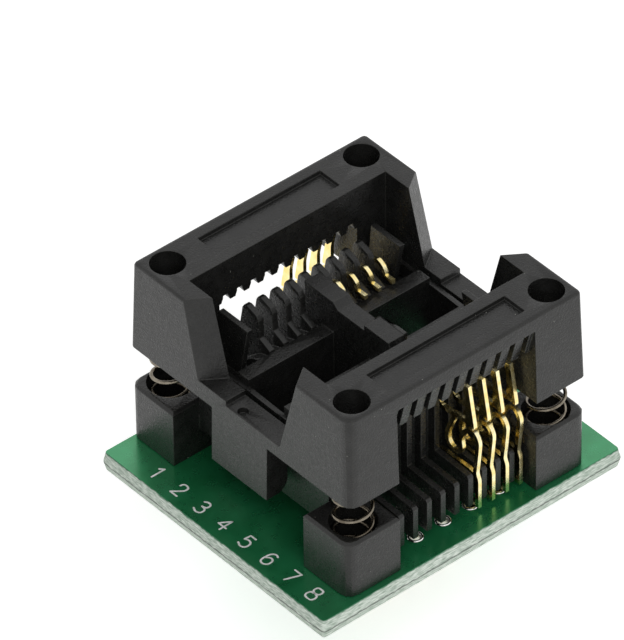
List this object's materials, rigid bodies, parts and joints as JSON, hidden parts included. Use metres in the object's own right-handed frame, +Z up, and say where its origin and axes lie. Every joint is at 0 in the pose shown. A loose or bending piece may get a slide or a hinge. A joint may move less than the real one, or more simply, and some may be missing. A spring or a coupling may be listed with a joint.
{
  "type": "ic programming adapter",
  "caption": "Open-top test socket for small-outline chips on a pin adapter board; pressing the sprung cover opens the stamped contacts",
  "frame": {"origin": "middle of the plane through the tips of the header pins, under the middle of the board", "axes": "+X along the contact rows towards the fitted positions, +Y towards the back row, +Z up"},
  "size_m": [0.0278, 0.024, 0.0258],
  "materials": {
    "solder_mask_board": "glass-epoxy board with semi-gloss green solder mask and rough pale scored edges",
    "moulded_resin": "charcoal glass-filled moulded resin, finely grained and matte",
    "header_resin": "black moulded resin, satin",
    "spring_steel": "drawn spring wire, bright",
    "gold_plate": "stamped copper alloy with gold plating"
  },
  "bodies": {
    "base": {"circuit_board": "solder_mask_board", "socket_base": "moulded_resin", "header_strip_front": "header_resin", "header_strip_back": "header_resin", "header_pin_1": "gold_plate", "header_pin_2": "gold_plate", "header_pin_3": "gold_plate", "header_pin_4": "gold_plate", "header_pin_5": "gold_plate", "header_pin_6": "gold_plate", "header_pin_7": "gold_plate", "header_pin_8": "gold_plate", "contact_front_1": "gold_plate", "contact_front_2": "gold_plate", "contact_front_3": "gold_plate", "contact_front_4": "gold_plate", "contact_back_1": "gold_plate", "contact_back_2": "gold_plate", "contact_back_3": "gold_plate", "contact_back_4": "gold_plate", "spring_front_left": "spring_steel", "spring_front_right": "spring_steel", "spring_back_left": "spring_steel", "spring_back_right": "spring_steel"},
    "cover": {"press_cover": "moulded_resin"}
  },
  "joints": [
    {"name": "cover_press", "type": "slide", "parent": "base", "child": "cover", "axis": [0, 0, -1], "range_m": [0, 0.003], "stiffness_N_per_m": 2500, "springref_m": -0.002, "deforming": ["spring_front_left", "spring_front_right", "spring_back_left", "spring_back_right"]}
  ]
}
